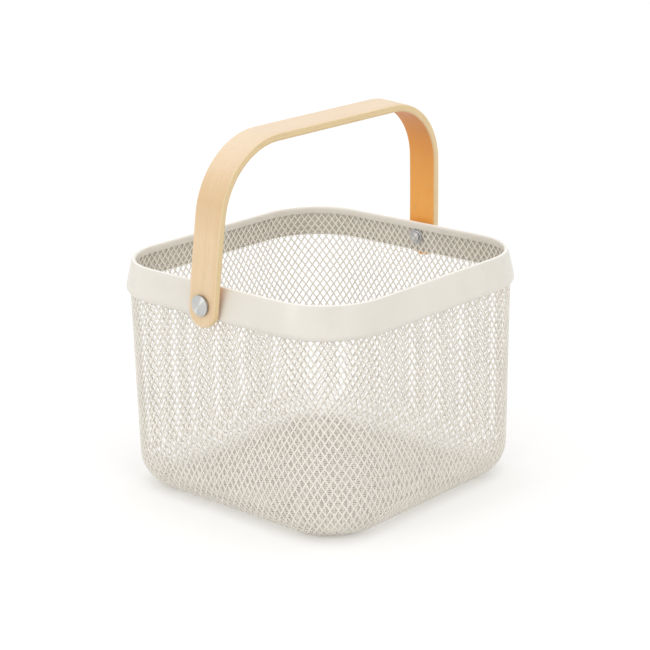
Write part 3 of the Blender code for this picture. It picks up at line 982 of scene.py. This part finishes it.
def turnRound(profile, closed):
    # Spin a line of radius and height round Z
    bm = bmesh.new()
    verts = [bm.verts.new((radius, 0, height)) for radius, height in profile]
    edges = [bm.edges.new(pair) for pair in zip(verts, verts[1:])]
    if closed:
        edges.append(bm.edges.new((verts[-1], verts[0])))
    bmesh.ops.spin(bm, geom=verts + edges, cent=(0, 0, 0), axis=(0, 0, 1), angle=math.tau,
                   steps=rivetSizes["steps"], use_merge=True, use_duplicate=False)
    bmesh.ops.remove_doubles(bm, verts=bm.verts, dist=mergeDistance)
    bmesh.ops.recalc_face_normals(bm, faces=bm.faces)
    return bm


def mapTurned(bm):
    # A map of each place's turn round Z and its radius, which the marks and highlights follow
    turnedMap = bm.loops.layers.uv.new("turned")
    for face in bm.faces:
        middle = face.calc_center_median()
        towards = math.atan2(middle.y, middle.x)
        for loop in face.loops:
            radius = loop.vert.co.xy.length
            angle = math.atan2(loop.vert.co.y, loop.vert.co.x) if radius > mergeDistance else towards
            angle = unwrapped([towards, angle], math.tau)[1]
            loop[turnedMap].uv = (angle / math.tau, radius / rivetSizes["head"])


def domed(radius, base, rise, steps):
    # From a round face's edge up to its middle
    ball = (radius ** 2 + rise ** 2) / (2 * rise)
    reach = math.asin(radius / ball)
    return arcPoints(Vector((0, base + rise - ball)), ball, quarter - reach, quarter, steps)


def rivetEnd(name):
    # From the shank out round the face that bears on the work, and up over the dome
    radius, thickness = rivetSizes[name], rivetSizes[name + "Thickness"]
    edge, rise = rivetSizes[name + "Edge"], rivetSizes[name + "Crown"]
    end = [Vector((rivetSizes["shank"], 0))]
    foot, shoulder = Vector((radius - edge / 2, edge / 2)), Vector((radius - edge, thickness - edge))
    end += arcPoints(foot, edge / 2, -quarter, 0, rivetSizes["footSteps"])
    end += arcPoints(shoulder, edge, 0, quarter, rivetSizes["edgeSteps"])[:-1]
    return end + domed(radius - edge, thickness, rise, rivetSizes["crownSteps"])


def rivetProfile():
    # The head stands clear of the leaning leg, and the tail of the leaning washer
    headSeat = legFace + handleSizes["thickness"] / math.cos(pivotLean) + play
    headSeat += rivetSizes["head"] * math.tan(pivotLean)
    washerFace = meshFace - (play + rivetSizes["washerThickness"]) / math.cos(meshLean)
    tailSeat = washerFace - rivetSizes["tail"] * math.tan(meshLean) - play
    head = [(radius, headSeat + height) for radius, height in rivetEnd("head")]
    tail = [(radius, tailSeat - height) for radius, height in rivetEnd("tail")]
    return tail[::-1] + head


def spacerRing():
    # Its slanted face sits on the skirt, and the leg turns against its flat one
    bore = rivetSizes["shank"] + play
    seat = skirtOffset(pivotHeight, -play)
    face = legFace - rivetSizes["spacer"] * math.tan(pivotLean) - play
    outer = rivetSizes["spacer"]
    bm = turnRound([(bore, seat), (outer, seat), (outer, face), (bore, face)], True)
    for vert in bm.verts:
        if vert.co.z < (seat + face) / 2:
            vert.co.z -= vert.co.y * math.tan(bandSizes["flare"])
    roundOff(bm, sharpEdges(bm, angle=50), rivetSizes["ringEdge"], rivetSizes["ringEdgeSteps"])
    return bm


def washerRing():
    half, bore = rivetSizes["washerThickness"] / 2, rivetSizes["washerBore"]
    outer = rivetSizes["washer"]
    bm = turnRound([(bore, -half), (outer, -half), (outer, half), (bore, half)], True)
    roundOff(bm, sharpEdges(bm, angle=50), rivetSizes["ringEdge"], rivetSizes["ringEdgeSteps"])
    mapTurned(bm)
    middle = meshFace - (play + half) / math.cos(meshLean)
    leaning = Matrix.Translation((0, 0, middle)) @ Matrix.Rotation(-meshLean, 4, "X")
    bmesh.ops.transform(bm, verts=bm.verts, matrix=leaning)
    return bm


def makeFastenings():
    # Each side's pieces are turned about Z, which then points out through the band
    rivetMetal = turnedMaterial("turned rivet", metalLook["rivet"], metalLook["rivetRoughness"])
    washerSteel = turnedMaterial("plated washer", metalLook["washer"], metalLook["washerRoughness"])
    nylon = nylonMaterial()
    for side, turn in (("front", 0), ("back", math.pi)):
        stand = Matrix.Rotation(turn, 4, "Z") @ Matrix.Translation((0, -rimSizes["half"], pivotHeight))
        stand = stand @ Matrix.Rotation(quarter, 4, "X")
        rivet = turnRound(rivetProfile(), False)
        mapTurned(rivet)
        for name, bm, material, slotName, node in (
                ("turned_rivet", rivet, rivetMetal, "rivet_metal", "_rivet"),
                ("nylon_spacer", spacerRing(), nylon, "nylon", "_spacer"),
                ("plated_washer", washerRing(), washerSteel, "washer_steel", "_backing_washer")):
            bmesh.ops.transform(bm, verts=bm.verts, matrix=stand)
            newPiece(side + "_" + name, bm, material, "basket", [side + node], smoothAngle=40)


turnedMetal = turnedMetalGroup()
makeFastenings()
print("fastenings made")

# ------ studio ------
studioSizes = {
    "floor": 9.0,
    "floorTone": (0.80, 0.80, 0.79, 1),
    "floorRoughness": 0.9,
    "white": (1, 1, 1, 1),
    "horizon": 0.62,  # strength of the sky's light at its edge and overhead
    "zenith": 1.20,
    "key": {"place": (-0.50, -2.20, 0.86), "size": 0.8, "power": 6.5},
    "fill": {"place": (2.0, -0.4, 1.1), "size": 1.0, "power": 4.5},
    "aim": (0, 0, 0.12),
}


def shownWhite(tree):
    # The floor and the sky are white to the camera and in the metal's reflections
    rays = addNode(tree, "LightPath", -400, 200)
    return mathNode(tree, -200, 200, "MAXIMUM", rays.outputs["Is Camera Ray"],
                    rays.outputs["Is Glossy Ray"])


def makeFloor():
    bm = bmesh.new()
    bmesh.ops.create_grid(bm, x_segments=1, y_segments=1, size=studioSizes["floor"] / 2)
    mesh = bpy.data.meshes.new("floor")
    bm.to_mesh(mesh)
    bm.free()
    addObject("floor", mesh)
    material, tree, shader = startMaterial("studio floor", studioSizes["floorTone"],
                                           studioSizes["floorRoughness"])
    mesh.materials.append(material)
    feed(tree, shader.inputs["Specular IOR Level"], 0.0)
    feed(tree, shader.inputs["Base Color"],
         mixColour(tree, 300, 200, shownWhite(tree), studioSizes["floorTone"], studioSizes["white"]))


def makeSky():
    world = bpy.data.worlds.new("studio")
    bpy.context.scene.world = world
    world.use_nodes = True
    tree = world.node_tree
    background = tree.nodes["Background"]
    feed(tree, background.inputs["Color"], studioSizes["white"])
    sky = addNode(tree, "TexCoord", -800, -200).outputs["Generated"]
    sky = rangeNode(tree, -400, -200, splitVector(tree, -600, -200, sky)["Z"], (0.0, 1.0),
                    (studioSizes["horizon"], studioSizes["zenith"]))
    feed(tree, background.inputs["Strength"], mathNode(tree, 0, 0, "MAXIMUM", shownWhite(tree), sky))


def makeLamp(name):
    lamp = studioSizes[name]
    data = bpy.data.lights.new(name, "AREA")
    data.shape = "SQUARE"
    data.size = lamp["size"]
    data.energy = lamp["power"]
    lampObject = addObject(name, data)
    lampObject.location = lamp["place"]
    towards = Vector(studioSizes["aim"]) - Vector(lamp["place"])
    lampObject.rotation_euler = towards.to_track_quat("-Z", "Y").to_euler()


makeFloor()
makeSky()
makeLamp("key")
makeLamp("fill")
print("studio made")

cameraSizes = {
    "azimuth": math.radians(43.04),
    "elevation": math.radians(17.51),
    "roll": math.radians(-1.27),
    "distance": 1.54153,
    "target": 0.100,
    "right": -0.01804,
    "up": 0.02583,
    "focal": 1934.06 / 650,  # in picture widths
    "sensor": 36.0,
    "shift": (0.04043, -0.00066),
    "reach": 20.0,
}


def makeCamera():
    azimuth, elevation, roll = (cameraSizes[name] for name in ("azimuth", "elevation", "roll"))
    back = Vector((math.sin(azimuth) * math.cos(elevation),
                   -math.cos(azimuth) * math.cos(elevation), math.sin(elevation)))
    right = Vector((math.cos(azimuth), math.sin(azimuth), 0))
    up = back.cross(right)
    data = bpy.data.cameras.new("camera")
    data.sensor_width = cameraSizes["sensor"]
    data.lens = cameraSizes["focal"] * cameraSizes["sensor"]
    data.shift_x, data.shift_y = cameraSizes["shift"]
    data.clip_end = cameraSizes["reach"]
    camera = addObject("camera", data)
    turned = Matrix((math.cos(roll) * right + math.sin(roll) * up,
                     math.cos(roll) * up - math.sin(roll) * right, back)).transposed()
    place = Vector((0, 0, cameraSizes["target"])) + back * cameraSizes["distance"]
    place += right * cameraSizes["right"] + up * cameraSizes["up"]
    camera.matrix_world = Matrix.Translation(place) @ turned.to_4x4()
    bpy.context.scene.camera = camera


makeCamera()
bpy.context.scene.view_settings.view_transform = "Standard"
